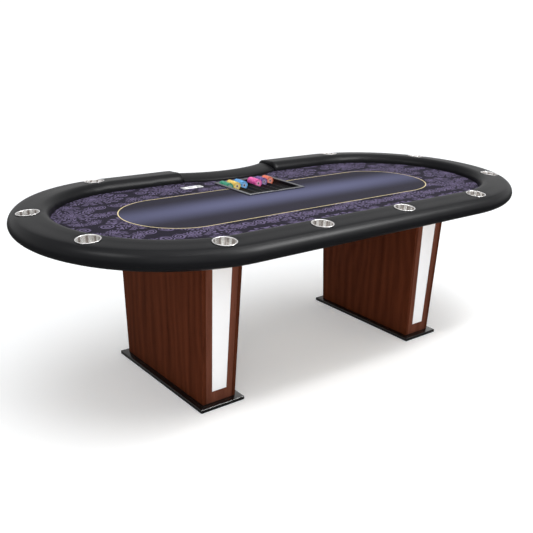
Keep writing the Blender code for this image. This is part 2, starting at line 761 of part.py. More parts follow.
def main():
    for old in list(bpy.data.objects):
        bpy.data.objects.remove(old, do_unlink=True)
    finishes = make_materials()
    make_deck(finishes)
    make_playing_surface(finishes)
    make_rail(finishes)
    make_dealer_rest(finishes)
    make_cup_holders(finishes)
    make_chip_tray(finishes)
    make_tray_frame(finishes)
    make_chips(finishes)
    make_drop_slot(finishes)
    make_drop_box(finishes)
    make_runners(finishes)
    make_stringers(finishes)
    make_pedestal("left", -1, finishes)
    make_pedestal("right", 1, finishes)


main()
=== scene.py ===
"""The looks of a poker table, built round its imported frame.

Metres, +Z up, in the frame's own axes: +X runs along the table and the dealer sits on +Y.
"""
import json
import math
import random

import bmesh
import bpy
from mathutils import Matrix, Vector


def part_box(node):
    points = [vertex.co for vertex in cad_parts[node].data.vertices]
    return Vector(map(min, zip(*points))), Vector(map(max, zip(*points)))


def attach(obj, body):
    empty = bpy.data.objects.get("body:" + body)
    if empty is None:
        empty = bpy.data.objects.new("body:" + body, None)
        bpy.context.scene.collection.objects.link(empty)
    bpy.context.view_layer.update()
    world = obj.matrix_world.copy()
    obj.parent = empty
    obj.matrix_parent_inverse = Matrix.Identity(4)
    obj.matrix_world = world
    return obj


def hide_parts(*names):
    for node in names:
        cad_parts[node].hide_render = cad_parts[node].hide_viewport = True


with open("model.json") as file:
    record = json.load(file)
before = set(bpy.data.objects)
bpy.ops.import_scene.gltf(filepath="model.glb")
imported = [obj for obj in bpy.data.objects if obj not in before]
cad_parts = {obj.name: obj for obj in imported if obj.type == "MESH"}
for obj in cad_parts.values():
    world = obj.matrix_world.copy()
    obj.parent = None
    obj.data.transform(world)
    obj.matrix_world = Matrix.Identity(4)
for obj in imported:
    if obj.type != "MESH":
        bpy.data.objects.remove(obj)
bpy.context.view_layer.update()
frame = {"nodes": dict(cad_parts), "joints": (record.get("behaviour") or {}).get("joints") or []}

# ---------------- sizes: those that the frame gives, then the others

RAIL_LOW, RAIL_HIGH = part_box("rail_pad")
HALF_WIDTH = RAIL_HIGH.y
STRAIGHT_HALF = RAIL_HIGH.x - HALF_WIDTH
_, DECK_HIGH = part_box("table_deck")
CLOTH_LOW, CLOTH_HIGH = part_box("playing_cloth")
FOAM_LOW, FOAM_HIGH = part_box("foam_underlay")
REST_LOW, REST_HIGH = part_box("dealer_rest_pad")
_, RAIL_BOARD_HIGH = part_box("rail_board")
TRAY_LOW, TRAY_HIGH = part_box("chip_tray")
RIM_LOW, RIM_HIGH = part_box("chip_tray_frame")
SLOT_LOW, SLOT_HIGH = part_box("drop_slot_plate")
CHUTE_LOW, CHUTE_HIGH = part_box("drop_slot_chute")

GAP = 0.0003  # between pieces that touch
CLOTH_HALF_WIDTH = CLOTH_HIGH.x - STRAIGHT_HALF
RAIL_BOARD_WIDTH = 0.104
RAIL_BOARD_OUTER = RAIL_BOARD_HIGH.y
RAIL_BOARD_INNER = RAIL_BOARD_OUTER - RAIL_BOARD_WIDTH
DECK_HALF_WIDTH = DECK_HIGH.y
BOARD_BOTTOM = DECK_HIGH.z + GAP

CUTOUT_HALF = REST_HIGH.x + GAP
CUTOUT_CENTRE_Y = 1.086  # the dealer cut-out's arcs are about this point
REST_WIDTH = 0.125
REST_INNER_R = CUTOUT_CENTRE_Y - REST_LOW.y
REST_OUTER_R = REST_INNER_R - REST_WIDTH

CUP_LINE = 0.5345  # the cups stand this far out from the table's middle line
CUP_COUNT = 10
CUP_RADIUS = 0.0410
CUP_RIM_RADIUS = 0.0440
CUP_DEPTH = 0.0600
CUP_WALL = 0.0012
CUP_HOLE_RADIUS = 0.0419

TRAY_ROWS = 7
ROW_PITCH = 0.0415
ROW_RADIUS = 0.0203
ROW_CENTRE_Z = 0.7106
ROW_WALL_TOP = 0.7056
TRAY_WALL = 0.0025
TRAY_FLANGE = 0.010
CHIP_RADIUS = 0.0195
CHIP_THICK = 0.0033

GOLD_HALF_LENGTH = 0.805  # the gold line is a stadium round the middle of the cloth
GOLD_HALF_WIDTH = 0.234
GOLD_MIDDLE_Y = 0.014
GOLD_LINE = 0.0042
BAND_HALF_WIDTH = 0.160  # the blue band inside it fades out over this
BAND_OFFSET = 0.010
BAND_FULL = 0.300  # and a little from here along the table
BAND_END = 0.830
PRINT_EDGE = 0.0006

DAMASK_START = (0.045, 0.030)
DAMASK_LENGTH = 0.180  # the print mirrors at every one of these along the table
DAMASK_WIDTH = 0.205  # and repeats at every two of these across it
DAMASK_SWAY = 0.009

# centre, half size, petals, depth of the gaps, number of lines, curl of the feathers
MEDALLIONS = (
    ((0.0, 0.0), (0.126, 0.116), 9, 0.26, 6.2, 7.0),
    ((DAMASK_LENGTH, DAMASK_WIDTH), (0.104, 0.100), 8, 0.27, 5.4, -6.0),
    ((DAMASK_LENGTH, -DAMASK_WIDTH), (0.104, 0.100), 8, 0.27, 5.4, -6.0),
    ((0.082, 0.152), (0.046, 0.052), 7, 0.46, 2.6, 3.0),
    ((0.082, -0.148), (0.046, 0.052), 7, 0.46, 2.6, 3.0),
    ((0.142, 0.082), (0.046, 0.040), 8, 0.44, 2.6, -3.0),
    ((0.138, -0.088), (0.046, 0.040), 8, 0.44, 2.6, -3.0),
)
# centre, radius, distance between turns
SCROLLS = (
    ((0.144, -0.006), 0.031, 0.0138),
    ((0.032, 0.158), 0.028, 0.0130),
    ((0.032, -0.152), 0.028, 0.0130),
    ((0.106, 0.034), 0.013, 0.0120),
    ((0.104, -0.046), 0.013, 0.0120),
)

PLY_THICK = 0.0028

rng = random.Random(7)


# ---------------- fields: numbers over a surface

class Field:
    """A number that varies over a surface; arithmetic on it adds the nodes that work it out."""

    def __init__(self, tree, socket):
        self.tree = tree
        self.socket = socket

    def math(self, operation, *others, clamp=False):
        node = self.tree.nodes.new("ShaderNodeMath")
        node.operation = operation
        node.use_clamp = clamp
        for place, value in enumerate((self, *others)):
            if isinstance(value, Field):
                self.tree.links.new(value.socket, node.inputs[place])
            else:
                node.inputs[place].default_value = value
        return Field(self.tree, node.outputs[0])

    def __add__(self, other):
        return self.math("ADD", other)

    def __sub__(self, other):
        return self.math("SUBTRACT", other)

    def __mul__(self, other):
        return self.math("MULTIPLY", other)

    def __truediv__(self, other):
        return self.math("DIVIDE", other)

    def __abs__(self):
        return self.math("ABSOLUTE")

    def sin(self):
        return self.math("SINE")

    def cos(self):
        return self.math("COSINE")

    def most(self, other):
        return self.math("MAXIMUM", other)

    def fraction(self):
        return self.math("FRACT")

    def length(self, other):
        """The length of the vector (self, other)."""
        return (self * self + other * other).math("SQRT")

    def angle(self, other):
        """The turn of the vector (self, other) from the first axis."""
        return other.math("ARCTAN2", self)

    def step(self, low, high):
        """0 below low and 1 above high, with a soft slope between; low may be the larger."""
        node = self.tree.nodes.new("ShaderNodeMapRange")
        node.interpolation_type = "SMOOTHSTEP"
        self.tree.links.new(self.socket, node.inputs["Value"])
        node.inputs["From Min"].default_value = min(low, high)
        node.inputs["From Max"].default_value = max(low, high)
        rises = float(low < high)
        node.inputs["To Min"].default_value = 1.0 - rises
        node.inputs["To Max"].default_value = rises
        return Field(self.tree, node.outputs[0])

    def spread(self, low, high):
        """0..1 laid out over low..high."""
        return self.math("MULTIPLY_ADD", high - low, low)


class Look:
    """One material: its shader, its coordinates and the textures it is made from."""

    def __init__(self, name, colour, roughness, metallic=0.0, specular=0.5):
        self.made = bpy.data.materials.new(name)
        self.made.use_nodes = True
        self.tree = self.made.node_tree
        self.shader = self.tree.nodes["Principled BSDF"]
        self.set("Base Color", (*colour, 1.0))
        self.set("Roughness", roughness)
        self.set("Metallic", metallic)
        self.set("Specular IOR Level", specular)
        self.made.diffuse_color = (*colour, 1.0)
        self.place = self.tree.nodes.new("ShaderNodeTexCoord").outputs["Object"]

    def set(self, socket, value):
        self.shader.inputs[socket].default_value = value

    def link(self, value, socket):
        self.tree.links.new(value.socket, self.shader.inputs[socket])

    def axes(self):
        """The place's x, y and z as fields."""
        node = self.tree.nodes.new("ShaderNodeSeparateXYZ")
        self.tree.links.new(self.place, node.inputs[0])
        return [Field(self.tree, socket) for socket in node.outputs]

    def noise(self, scale, detail=2.0, roughness=0.5, stretch=(1.0, 1.0, 1.0)):
        stretched = self.tree.nodes.new("ShaderNodeMapping")
        self.tree.links.new(self.place, stretched.inputs["Vector"])
        stretched.inputs["Scale"].default_value = stretch
        node = self.tree.nodes.new("ShaderNodeTexNoise")
        self.tree.links.new(stretched.outputs[0], node.inputs["Vector"])
        node.inputs["Scale"].default_value = scale
        node.inputs["Detail"].default_value = detail
        node.inputs["Roughness"].default_value = roughness
        return Field(self.tree, node.outputs["Fac"])

    def cells(self, scale):
        node = self.tree.nodes.new("ShaderNodeTexVoronoi")
        self.tree.links.new(self.place, node.inputs["Vector"])
        node.inputs["Scale"].default_value = scale
        return Field(self.tree, node.outputs["Distance"])

    def blend(self, amount, first, second):
        """A colour between two others; each is a colour or another blend."""
        node = self.tree.nodes.new("ShaderNodeMix")
        node.data_type = "RGBA"
        self.tree.links.new(amount.socket, node.inputs[0])
        for place, colour in ((6, first), (7, second)):
            if isinstance(colour, Field):
                self.tree.links.new(colour.socket, node.inputs[place])
            else:
                node.inputs[place].default_value = (*colour, 1.0)
        return Field(self.tree, node.outputs[2])

    def vary(self, texture, low, high, roughness, bump=None):
        """Let a texture shift the colour, the roughness and, with a bump, the surface."""
        self.link(self.blend(texture, low, high), "Base Color")
        self.link(texture.spread(*roughness), "Roughness")
        if bump:
            self.bump(texture, *bump)
        return self.made

    def bump(self, height, distance, strength):
        node = self.tree.nodes.new("ShaderNodeBump")
        node.inputs["Strength"].default_value = strength
        node.inputs["Distance"].default_value = distance
        self.tree.links.new(height.socket, node.inputs["Height"])
        self.tree.links.new(node.outputs[0], self.shader.inputs["Normal"])


# ---------------- materials

def vinyl_look():
    """Black vinyl: a fine pebbled grain and a soft uneven sheen."""
    look = Look("black_vinyl", (0.0065, 0.0067, 0.0078), 0.38, specular=0.095)
    patches = look.noise(5.0, 3.0)
    grain = look.cells(900.0)
    look.link(look.blend(patches, (0.0052, 0.0053, 0.0062), (0.0080, 0.0082, 0.0094)), "Base Color")
    look.link(patches.spread(0.34, 0.42) + (grain * 0.04), "Roughness")
    look.bump(grain, 0.00012, 0.35)
    return look.made


def spiral(u, v, centre, radius, pitch):
    """A round scroll: a ribbon that winds in to the middle of a disc."""
    x = u - centre[0]
    y = v - centre[1]
    reach = x.length(y)
    turn = x.angle(y) / math.tau
    ribbon = (turn + reach / pitch).fraction()
    wave = abs(ribbon - 0.5)
    soft_edge = 0.002
    return wave.step(0.30, 0.20) * reach.step(radius, radius - soft_edge)


def medallion(u, v, centre, half_size, petals, cut, bands, curl):
    """A feathered medallion: round petals with deep gaps, filled with scalloped lines."""
    x = (u - centre[0]) / half_size[0]
    y = (v - centre[1]) / half_size[1]
    reach = x.length(y)
    turn = x.angle(y)
    petal = abs((turn * (petals / 2)).cos()).math("SQRT")
    barb = abs((turn * (petals * 1.5) + reach * curl).cos())
    barb_depth = 0.075
    soft_edge = 0.012
    field = reach - petal * cut - barb * barb_depth
    whole = (field - (1.0 - cut - barb_depth)).step(soft_edge, -soft_edge)
    ring = abs((field * bands).fraction() - 0.5).step(0.31, 0.21)
    rib = petal.step(0.990, 0.965).most(reach.step(0.40, 0.36))
    gap = petal.step(0.20, 0.36).most(reach.step(0.46, 0.40))
    heart = reach.step(0.15, 0.12)
    return whole * (ring * rib * gap).most(heart)


def damask(x, y):
    """A half-drop repeat of medallions, scrolls and sprays, mirrored along the table."""
    u = (x + DAMASK_START[0]).math("PINGPONG", DAMASK_LENGTH)
    v = (y + DAMASK_START[1]).math("WRAP", DAMASK_WIDTH, -DAMASK_WIDTH)
    bend = (v * 47.0 + u * 13.0).sin() * DAMASK_SWAY
    sway = (u * 38.0 + v * 17.0).sin() * DAMASK_SWAY
    u = u + bend
    v = v + sway
    parts = [medallion(u, v, *shape) for shape in MEDALLIONS]
    parts += [spiral(u, v, *shape) for shape in SCROLLS]
    whole = parts[0]
    for part in parts[1:]:
        whole = whole.most(part)
    return whole


def cloth_look():
    """Printed playing cloth: damask outside a gold line, a soft band of blue inside it."""
    look = Look("printed_cloth", (0.06, 0.05, 0.11), 0.85, specular=0.05)
    x, y, _z = look.axes()
    ground = (0.0130, 0.0105, 0.0190)
    print_colour = look.blend(look.noise(26.0, 3.0), (0.098, 0.078, 0.143), (0.156, 0.127, 0.225))
    border = look.blend(damask(x, y), ground, print_colour)

    beside = y - GOLD_MIDDLE_Y
    beyond = (abs(x) - (GOLD_HALF_LENGTH - GOLD_HALF_WIDTH)).most(0.0)
    out = beyond.length(beside)
    band = abs(beside - BAND_OFFSET).step(BAND_HALF_WIDTH, 0.0)
    ends = abs(x).step(BAND_END, BAND_FULL)
    blue = (0.094, 0.098, 0.172)
    middle = look.blend(band * ends.spread(0.75, 1.0), (0.0225, 0.0208, 0.0310), blue)
    inside = out.step(GOLD_HALF_WIDTH + PRINT_EDGE, GOLD_HALF_WIDTH - PRINT_EDGE)
    printed = look.blend(inside, border, middle)
    half_line = GOLD_LINE / 2
    line = abs(out - GOLD_HALF_WIDTH).step(half_line + 0.0005, half_line - 0.0005)
    look.link(look.blend(line, printed, (0.74, 0.62, 0.35)), "Base Color")

    weave = (x * 5200.0).sin() * (y * 5200.0).sin()
    look.bump(weave + look.noise(700.0, 2.0), 0.00012, 0.35)
    look.link(line.spread(0.80, 0.55), "Roughness")
    look.set("Sheen Weight", 0.03)
    look.set("Sheen Roughness", 0.45)
    look.set("Sheen Tint", (0.72, 0.72, 0.95, 1.0))
    return look.made


def foam_look():
    """Grey closed-cell foam with open pores."""
    look = Look("grey_foam", (0.20, 0.20, 0.21), 0.95, specular=0.2)
    pores = look.cells(650.0)
    look.link(look.blend(pores, (0.13, 0.13, 0.14), (0.24, 0.24, 0.25)), "Base Color")
    look.bump(pores, 0.0004, 0.6)
    return look.made


def plywood_look():
    """Birch plywood: streaked faces and thin dark glue lines between the plies."""
    look = Look("birch_plywood", (0.50, 0.36, 0.21), 0.68, specular=0.3)
    _x, _y, z = look.axes()
    streaks = look.noise(14.0, 5.0, 0.6, (0.5, 9.0, 9.0))
    face = look.blend(streaks, (0.36, 0.24, 0.13), (0.58, 0.43, 0.26))
    plies = abs((z / PLY_THICK).fraction() - 0.5).step(0.5, 0.42)
    look.link(look.blend(plies, (0.20, 0.12, 0.06), face), "Base Color")
    look.link(streaks.spread(0.60, 0.76), "Roughness")
    look.bump(streaks, 0.0004, 0.4)
    return look.made


def walnut_look(name, dark, light, shift):
    """Dark walnut veneer with upright grain under a satin lacquer."""
    look = Look(name, dark, 0.46, specular=0.015)
    x, y, z = look.axes()
    sway = look.noise(2.2, 2.0, 0.5, (2.0, 2.0, 0.55))
    figure = ((x + y + shift) * 120.0 + sway * 26.0 + z * 0.8).sin()
    pores = look.noise(60.0, 4.0, 0.65, (9.0, 9.0, 0.30))
    bands = look.noise(9.0, 3.0, 0.55, (3.0, 3.0, 0.16))
    mixed = (figure * 0.10 + bands * 0.95 + pores * 0.45 - 0.25).math("ADD", 0.0, clamp=True)
    base = look.blend(mixed, dark, light)
    lines = pores.step(0.40, 0.30)
    look.link(look.blend(lines * 0.55, base, [c * 0.35 for c in dark]), "Base Color")
    look.link(pores.spread(0.44, 0.34), "Roughness")
    look.bump(pores, 0.00018, 0.35)
    return look.made


def insert_look():
    """Light silver board with a faint upright brushing, and painted light: it is drawn lighter towards
    its foot.
    """
    look = Look("silver_insert", (0.80, 0.81, 0.82), 0.30)
    brushed = look.noise(220.0, 2.0, 0.5, (6.0, 6.0, 0.05))
    _x, _y, z = look.axes()
    # painted light: the board is lighter towards its foot, near the pale floor, and darker towards its
    # top
    fade = z.step(0.05, 0.66)
    tone = look.blend(fade, (0.92, 0.92, 0.93), (0.83, 0.83, 0.84))
    look.link(look.blend(brushed * 0.3, tone, (0.80, 0.80, 0.82)), "Base Color")
    look.link(brushed.spread(0.24, 0.36), "Roughness")
    look.bump(brushed, 0.00005, 0.3)
    return look.made


def gloss_black_look():
    """Black high gloss board, a little wavy, with fine scuffs."""
    look = Look("black_gloss_board", (0.0060, 0.0052, 0.0052), 0.12, specular=0.6)
    scuffs = look.noise(90.0, 4.0, 0.7)
    look.vary(scuffs, (0.0050, 0.0044, 0.0044), (0.0085, 0.0075, 0.0075), (0.16, 0.28))
    look.bump(look.noise(14.0, 1.0), 0.0004, 0.08)
    look.set("Coat Weight", 0.1)
    look.set("Coat Roughness", 0.14)
    return look.made


def steel_look():
    """Spun stainless steel: turning marks, light drawn out across them, and painted reflection bands,
    dark and light, round the wall.
    """
    look = Look("spun_stainless", (0.84, 0.83, 0.82), 0.26, 0.72)
    x, y, z = look.axes()
    marks = (z * 9000.0).sin() * 0.5 + 0.5
    turn = x.angle(y)
    worn = look.noise(30.0, 2.0)
    # painted reflection: dark and light upright bands round the wall stand in for the studio mirrored
    # in the steel
    painted_reflection_bands = ((turn * 9.0 + 0.6).sin() * 0.5 + (turn * 17.0 + 1.9).sin() * 0.30).step(-0.55, 0.30)
    wall = z.step(0.007 - CUP_DEPTH, 0.014 - CUP_DEPTH) * z.step(-0.0015, -0.0040)
    rim = z.step(-0.0024, -0.0014)
    # the painted reflection bands darken the wall only; the cup's floor and rim keep a bright tone
    tone = look.blend(painted_reflection_bands.most(wall.spread(1.0, 0.0)), (0.30, 0.26, 0.24), (0.82, 0.82, 0.81))
    tone = look.blend(rim, tone, (0.74, 0.73, 0.73))
    look.link(look.blend(worn * 0.12, tone, (0.60, 0.58, 0.56)), "Base Color")
    look.link(marks.spread(0.22, 0.30), "Roughness")
    look.bump(marks, 0.00002, 0.25)
    look.set("Anisotropic", 0.35)
    tangent = look.tree.nodes.new("ShaderNodeTangent")
    tangent.direction_type = "RADIAL"
    tangent.axis = "Z"
    look.tree.links.new(tangent.outputs[0], look.shader.inputs["Tangent"])
    return look.made


def zinc_look():
    """Zinc plated bolts, slightly mottled."""
    look = Look("zinc_bolt", (0.52, 0.52, 0.50), 0.32, 1.0)
    mottle = look.noise(400.0, 3.0)
    return look.vary(mottle, (0.42, 0.42, 0.41), (0.62, 0.62, 0.58), (0.26, 0.44))


def tray_look():
    """Moulded black plastic with a fine spark texture."""
    look = Look("moulded_black", (0.0050, 0.0050, 0.0060), 0.36, specular=0.18)
    spark = look.noise(1400.0, 2.0)
    low = (0.0040, 0.0040, 0.0048)
    return look.vary(spark, low, (0.0062, 0.0062, 0.0072), (0.28, 0.44), (0.00005, 0.4))


def aluminium_look(name, low, high, roughness):
    """Satin anodised metal, brushed along the table."""
    look = Look(name, high, roughness, 1.0)
    look.set("Anisotropic", 0.4)
    brushed = look.noise(260.0, 3.0, 0.6, (0.05, 6.0, 6.0))
    return look.vary(brushed, low, high, (roughness - 0.06, roughness + 0.08), (0.00006, 0.3))


def powder_look():
    """Black powder coat with an orange-peel surface."""
    look = Look("black_powder_coat", (0.020, 0.020, 0.022), 0.45)
    peel = look.noise(520.0, 2.0)
    return look.vary(peel, (0.015, 0.015, 0.017), (0.027, 0.027, 0.030), (0.38, 0.54), (0.0002, 0.5))


def chip_look(name, colour):
    """Pressed clay composite with a slight mottle."""
    look = Look(name, colour, 0.46, specular=0.4)
    dull = [c * 0.80 for c in colour]
    bright = [min(1.0, c * 1.12) for c in colour]
    return look.vary(look.noise(320.0, 3.0), dull, bright, (0.38, 0.54), (0.00005, 0.3))


def floor_look():
    """Pale seamless floor that glows faintly with a cool painted light, lifting the shade under the
    table.
    """
    look = Look("pale_floor", (0.90, 0.90, 0.90), 0.70, specular=0.1)
    cloudy = look.noise(0.6, 2.0)
    look.link(look.blend(cloudy, (0.895, 0.895, 0.895), (0.905, 0.905, 0.905)), "Base Color")
    # painted light: a faint cool glow, though the floor is no lamp, lightens and cools the shade under
    # the table
    look.set("Emission Color", (0.90, 1.0, 1.09, 1.0))
    look.set("Emission Strength", 0.19)
    return look.made


# ---------------- mesh helpers

QUARTER = math.pi / 2
CUT_PAST = 0.01  # a cutter reaches this far past what it cuts


def arc(centre, radius, first, last, steps):
    """Points along an arc between two turns; the radius is one number, or one for each way."""
    across, up = radius if isinstance(radius, tuple) else (radius, radius)
    return [(centre[0] + across * math.cos(turn), centre[1] + up * math.sin(turn))
            for turn in spread(first, last, steps)]


def circle(radius, sides, centre=(0.0, 0.0), start=0.0):
    return arc(centre, radius, start, start + math.tau, sides)[:-1]


def spread(first, last, steps):
    return [first + (last - first) * step / steps for step in range(steps + 1)]


def smooth_line(points, steps):
    """A curve through the points, with that many steps between each two."""
    made = []
    last = len(points) - 1
    for i in range(last):
        near = [Vector(points[min(max(j, 0), last)]) for j in range(i - 1, i + 3)]
        before, start, end, after = near
        for step in range(steps):
            t = step / steps
            made.append(0.5 * (
                2 * start
                + (end - before) * t
                + (2 * before - 5 * start + 4 * end - after) * t * t
                + (3 * start - before - 3 * end + after) * t ** 3
            ))
    made.append(Vector(points[last]))
    return [tuple(point) for point in made]


def rounded_rectangle(low, high, radius, steps=6):
    """The outline of a rectangle between two corners, each corner round, counter-clockwise."""
    middle_x = (low[0] + high[0]) / 2
    middle_y = (low[1] + high[1]) / 2
    flat_x = (high[0] - low[0]) / 2 - radius
    flat_y = (high[1] - low[1]) / 2 - radius
    outline = []
    for corner, (sx, sy) in enumerate(((1, 1), (-1, 1), (-1, -1), (1, -1))):
        centre = (middle_x + sx * flat_x, middle_y + sy * flat_y)
        outline += arc(centre, radius, corner * QUARTER, (corner + 1) * QUARTER, steps)
    return outline


def add_object(name, data):
    made = bpy.data.objects.new(name, data)
    bpy.context.scene.collection.objects.link(made)
    return made


def shade(mesh, angle):
    """Smooth shading, except at edges sharper than the angle in degrees."""
    mesh.shade_smooth()
    mesh.set_sharp_from_angle(angle=math.radians(angle))


def add_piece(name, work, *finishes, smooth=None):
    """Turn a bmesh into a piece; smooth is the edge angle in degrees that stays sharp."""
    bmesh.ops.recalc_face_normals(work, faces=work.faces)
    mesh = bpy.data.meshes.new(name)
    work.to_mesh(mesh)
    work.free()
    for finish in finishes:
        mesh.materials.append(finish)
    if smooth is not None:
        shade(mesh, smooth)
    return add_object(name, mesh)


def settle(piece, body, node):
    """Put a piece on the body that it rides on, and hide the frame's node that it stands for."""
    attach(piece, body)
    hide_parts(node)


def apply_modifiers(piece):
    """Bake a piece's modifiers into its mesh."""
    graph = bpy.context.evaluated_depsgraph_get()
    made = bpy.data.meshes.new_from_object(piece.evaluated_get(graph))
    old = piece.data
    piece.modifiers.clear()
    piece.data = made
    bpy.data.meshes.remove(old)


def boolean(piece, work, operation="DIFFERENCE"):
    """Cut a piece with the shape in a bmesh, or join the two."""
    tool = add_piece("cutter", work)
    change = piece.modifiers.new("shape", "BOOLEAN")
    change.operation = operation
    change.solver = "EXACT"
    change.object = tool
    apply_modifiers(piece)
    mesh = tool.data
    bpy.data.objects.remove(tool)
    bpy.data.meshes.remove(mesh)


def round_edges(piece, width, segments=3, angle=40.0):
    """Round a piece's edges and keep its flats flat."""
    change = piece.modifiers.new("rounding", "BEVEL")
    change.width = width
    change.segments = segments
    change.limit_method = "ANGLE"
    change.angle_limit = math.radians(angle)
    change.harden_normals = True
    piece.data.shade_smooth()
    apply_modifiers(piece)


def join_rings(work, rings, cap=True):
    """Faces between rings of points, with a face at each end unless cap is off."""
    made = [[work.verts.new(Vector(point)) for point in ring] for ring in rings]
    count = len(rings[0])
    for near, far in zip(made, made[1:]):
        for i in range(count):
            j = (i + 1) % count
            work.faces.new((near[i], near[j], far[j], far[i]))
    if cap:
        work.faces.new(made[0])
        work.faces.new(made[-1])
    return made


def swept(*shapes):
    """A bmesh of closed shapes, each one given by its rings of points."""
    work = bmesh.new()
    for rings in shapes:
        join_rings(work, rings)
    return work


def levels(outline, bottom, top):
    """A flat outline at two heights."""
    return [[(x, y, z) for x, y in outline] for z in (bottom, top)]


def rectangle(low, high):
    return [(low[0], low[1]), (high[0], low[1]), (high[0], high[1]), (low[0], high[1])]


def cut_through(piece, low, high, *outlines):
    """Cut openings through a piece that lies between two heights."""
    boolean(piece, swept(*[levels(outline, low - CUT_PAST, high + CUT_PAST) for outline in outlines]))


# ---------------- the padded rail

RAIL_END_RADIUS = 0.012
RAIL_END_WAY = (0.0, 0.0006, 0.0022, 0.0050, 0.0085)  # extra sections in each soft end
RAIL_MIDDLE = (CUP_LINE, 0.717)  # the soft ends draw in towards this
RAIL_ARC_STEPS = 150
RAIL_STEP = 0.011
SECTION_STEPS = 5
INNER_BEND_Z = 0.728  # the pads' tight inner bend is at this height
SOFT_ABOVE = 0.74  # the cups dent only the rail's top
CUP_SIDES = 72
CUP_HOLE_REACH = (-0.080, 0.030)  # along the cup's axis, from its rim


def cup_seat(number):
    """The middle of a cup's rim, and the way the cup leans."""
    joint = next(j for j in frame["joints"] if j["name"] == "cup_%d_lift" % number)
    axis = Vector(joint["axis"]).normalized()
    points = [v.co for v in frame["nodes"]["cup_holder_%d" % number].data.vertices]
    top = max(point.dot(axis) for point in points)
    rim = [point for point in points if point.dot(axis) > top - 0.0001]
    return sum(rim, Vector()) / len(rim), axis


CUPS = [cup_seat(number) for number in range(1, CUP_COUNT + 1)]


def straight(first, last, steps, dy):
    """Places along a straight side of the table: (x, dx, dy)."""
    return [(x, 0.0, dy) for x in spread(first, last, steps)]


def round_end(x, first):
    """Places round one end of the table, from a turn on: (x, dx, dy)."""
    return [(x, dx, dy) for dx, dy in arc((0.0, 0.0), 1.0, first, first + math.pi, RAIL_ARC_STEPS)]


def rail_stations(half):
    """Stations round the rail from the cut-out's left end: (x, dx, dy, way along in metres)."""
    side = STRAIGHT_HALF - half
    front = 2 * STRAIGHT_HALF
    side_steps = round(side / RAIL_STEP)
    front_steps = round(front / RAIL_STEP)
    arc_way = math.pi * CUP_LINE / RAIL_ARC_STEPS
    runs = (
        (side / side_steps, straight(-half, -STRAIGHT_HALF, side_steps, 1.0)),
        (arc_way, round_end(-STRAIGHT_HALF, QUARTER)),
        (front / front_steps, straight(-STRAIGHT_HALF, STRAIGHT_HALF, front_steps, -1.0)),
        (arc_way, round_end(STRAIGHT_HALF, -QUARTER)),
        (side / side_steps, straight(STRAIGHT_HALF, half, side_steps, 1.0)),
    )
    stations = [(-half, 0.0, 1.0, 0.0)]
    for step, run in runs:
        for place in run[1:]:
            stations.append((*place, stations[-1][3] + step))
    return stations


def end_inset(from_end, radius):
    """How far a pad's section draws in near its end, to round the end off."""
    if from_end >= radius:
        return 0.0
    return radius - math.sqrt(max(0.0, radius ** 2 - (radius - from_end) ** 2))


def shrunk(section, middle, amount):
    """A section drawn in towards its middle by a distance."""
    made = []
    centre = Vector(middle)
    for point in section:
        away = Vector(point) - centre
        made.append(tuple(centre + away * max(0.0, 1.0 - amount / away.length)))
    return made


def board_channel(under, outer, inner):
    """A pad's flat underside, then the channel for the board that it is wrapped round."""
    low = BOARD_BOTTOM
    top = RAIL_BOARD_HIGH.z + GAP
    return [(under, low), (outer, low), (outer, top), (inner, top), (inner, low)]


def rail_section():
    """(half width, z): the vinyl's skin over the foam, then the channel for the rail's board."""
    inner = CLOTH_HALF_WIDTH + 0.0005
    skin = smooth_line([
        (inner + 0.0020, BOARD_BOTTOM),
        (inner + 0.0002, 0.7060),
        (inner - 0.0002, 0.7280),
        (inner + 0.0038, 0.7412),
        (inner + 0.0130, 0.7526),
        (inner + 0.0290, 0.7588),
        (CUP_LINE - 0.0250, 0.7585),
        (CUP_LINE, 0.7562),
        (CUP_LINE + 0.0440, 0.7524),
        (HALF_WIDTH - 0.0172, 0.7456),
        (HALF_WIDTH - 0.0072, 0.7354),
        (HALF_WIDTH - 0.0016, 0.7230),
        (HALF_WIDTH, 0.7110),
        (HALF_WIDTH - 0.0044, 0.6975),
        (HALF_WIDTH - 0.0165, 0.6848),
        (HALF_WIDTH - 0.0340, 0.6760),
        (DECK_HALF_WIDTH + GAP, RAIL_LOW.z),
    ], SECTION_STEPS)
    return skin, board_channel(
        DECK_HALF_WIDTH + GAP, RAIL_BOARD_OUTER + GAP, RAIL_BOARD_INNER - GAP)


def wrinkle(along, w, z):
    """How far the vinyl stands off its smooth shape: puckers on the tight inner bends."""
    inner = max(0.0, 1.0 - (w - CLOTH_HALF_WIDTH) / 0.030)
    height = max(0.0, 1.0 - abs(z - INNER_BEND_Z) / 0.024)
    pull = math.sin(along * 61.0) * math.sin(along * 23.0 + 1.3) * math.sin(along * 9.0 + 0.4)
    lazy = math.sin(along * 6.1 + 0.7)
    return inner * height * pull * 0.0012 + lazy * 0.0004


def sunk_round_cups(point):
    """The foam gives a little under each cup's rim."""
    near_height = 0.02
    near_reach = 0.10
    soft_width = 0.011
    depth = 0.0014
    for seat, axis in CUPS:
        away = point - seat
        height = away.dot(axis)
        reach = (away - axis * height).length
        if abs(height) < near_height and reach < near_reach:
            press = math.exp(-((reach - CUP_HOLE_RADIUS) / soft_width) ** 2)
            point = point - axis * (depth * press)
    return point


def rail_ring(skin, channel, station, from_end):
    """The rail's outline at one station, with its wrinkles and the dents round the cups."""
    x, dx, dy, along = station
    outline = []
    for w, z in shrunk(skin, RAIL_MIDDLE, end_inset(from_end, RAIL_END_RADIUS)):
        outline.append((w - wrinkle(along, w, z), z))
    for w, z in channel:
        outline.append((w, BOARD_BOTTOM if from_end < RAIL_END_RADIUS else z))
    ring = []
    for w, z in outline:
        point = Vector((x + w * dx, w * dy, z))
        ring.append(sunk_round_cups(point) if z > SOFT_ABOVE else point)
    return ring


